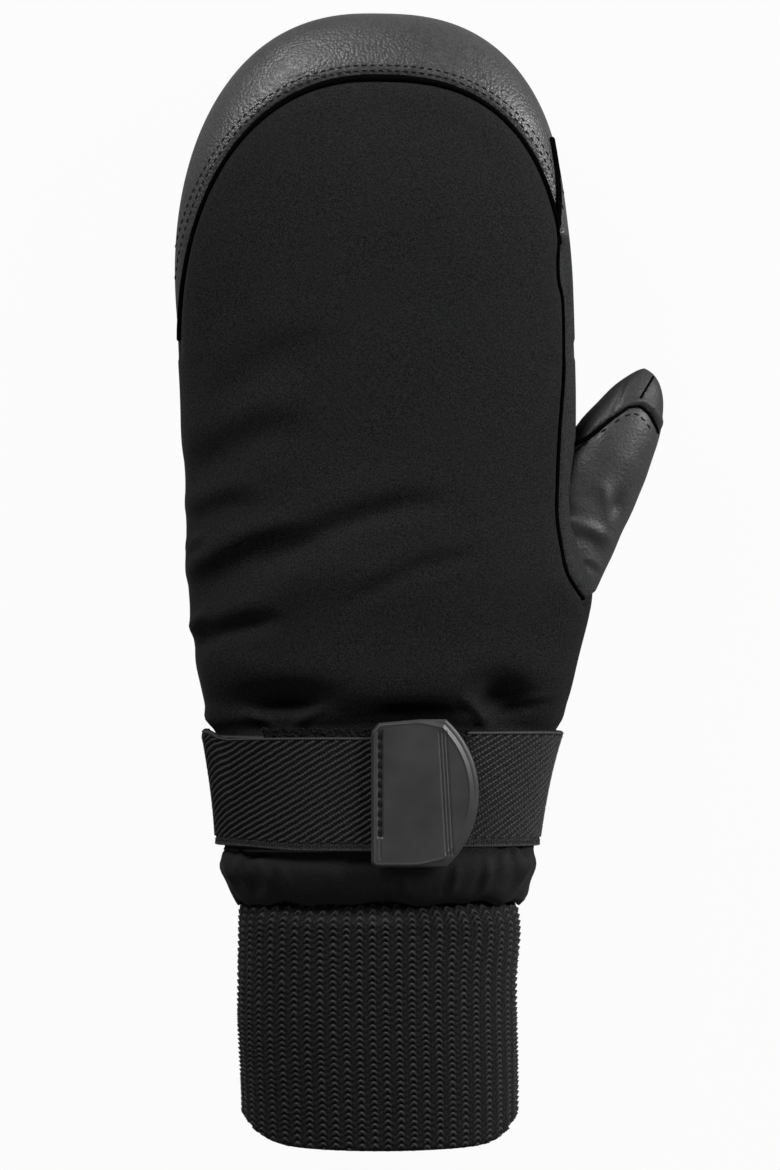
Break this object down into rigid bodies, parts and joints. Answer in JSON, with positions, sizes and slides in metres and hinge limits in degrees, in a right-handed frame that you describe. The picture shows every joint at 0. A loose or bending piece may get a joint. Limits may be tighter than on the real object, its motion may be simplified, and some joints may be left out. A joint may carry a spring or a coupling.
{
  "type": "ski mitten",
  "caption": "Insulated ski mitten with leather fingertips and palm, softshell back, wrist strap with pull tab and a long rib knit cuff.",
  "frame": {"origin": "on the flat resting face of the palm patch, under the middle of the hand", "axes": "+Y to the fingertips, +X to the thumb, +Z out of the back of the hand"},
  "size_m": [0.1373, 0.318, 0.052],
  "materials": {
    "softshell": "matte stretch softshell, near black",
    "leather": "semi-gloss grained goat leather, charcoal",
    "webbing": "elastic webbing with a diagonal twill face, black",
    "loop": "napped loop pile, black",
    "hook": "moulded hook tape, black",
    "rubber": "moulded soft rubber, dark grey, satin",
    "thread": "bonded sewing thread, black",
    "knit": "one by one rib knit, black",
    "insulation": "polyester wadding, off-white",
    "membrane": "thin waterproof film, pale grey",
    "fleece": "brushed fleece, dark grey"
  },
  "bodies": {
    "hand": {"back_shell": "softshell", "fingertip_cap": "leather", "palm_leather": "leather", "palm_patch": "leather", "index_gusset": "softshell", "cap_piping": "softshell", "gusset_piping": "softshell", "back_insulation": "insulation", "palm_insulation": "insulation", "membrane": "membrane", "lining": "fleece", "thumb_sleeve": "fleece", "strap_base": "webbing", "loop_patch": "loop", "strap_anchor": "webbing", "cuff_seam_tape": "softshell", "knit_cuff": "knit"},
    "thumb": {"thumb_back": "leather", "thumb_face": "leather", "thumb_palm": "leather", "thumb_insulation": "insulation", "thumb_lining": "fleece"},
    "strap_free": {"strap_span": "webbing"},
    "strap_tip": {"strap_end": "webbing", "tab_stitches": "thread"},
    "tab": {"pull_tab": "rubber", "hook_patch": "hook"}
  },
  "joints": [
    {"name": "strap_swing", "type": "hinge", "parent": "hand", "child": "strap_free", "pos_m": [-0.0412, -0.0575, 0.0353], "axis": [0, -1, 0], "range_deg": [0, 110], "deforming": ["strap_span"]},
    {"name": "strap_adjust", "type": "hinge", "parent": "strap_free", "child": "strap_tip", "pos_m": [0, -0.0575, -0.0919], "axis": [0, 1, 0], "range_deg": [-9, 3], "deforming": ["strap_span"]},
    {"name": "tab_lift", "type": "hinge", "parent": "strap_tip", "child": "tab", "pos_m": [0.0025, -0.0575, 0.0497], "axis": [0, -1, 0], "range_deg": [0, 60], "stiffness_Nm_per_rad": 0.02, "deforming": ["pull_tab"]},
    {"name": "thumb_swing", "type": "hinge", "parent": "hand", "child": "thumb", "pos_m": [0.05025, 0.005, 0.0175], "axis": [0, 0, -1], "range_deg": [0, 20], "stiffness_Nm_per_rad": 0.05, "deforming": ["thumb_sleeve"]}
  ]
}
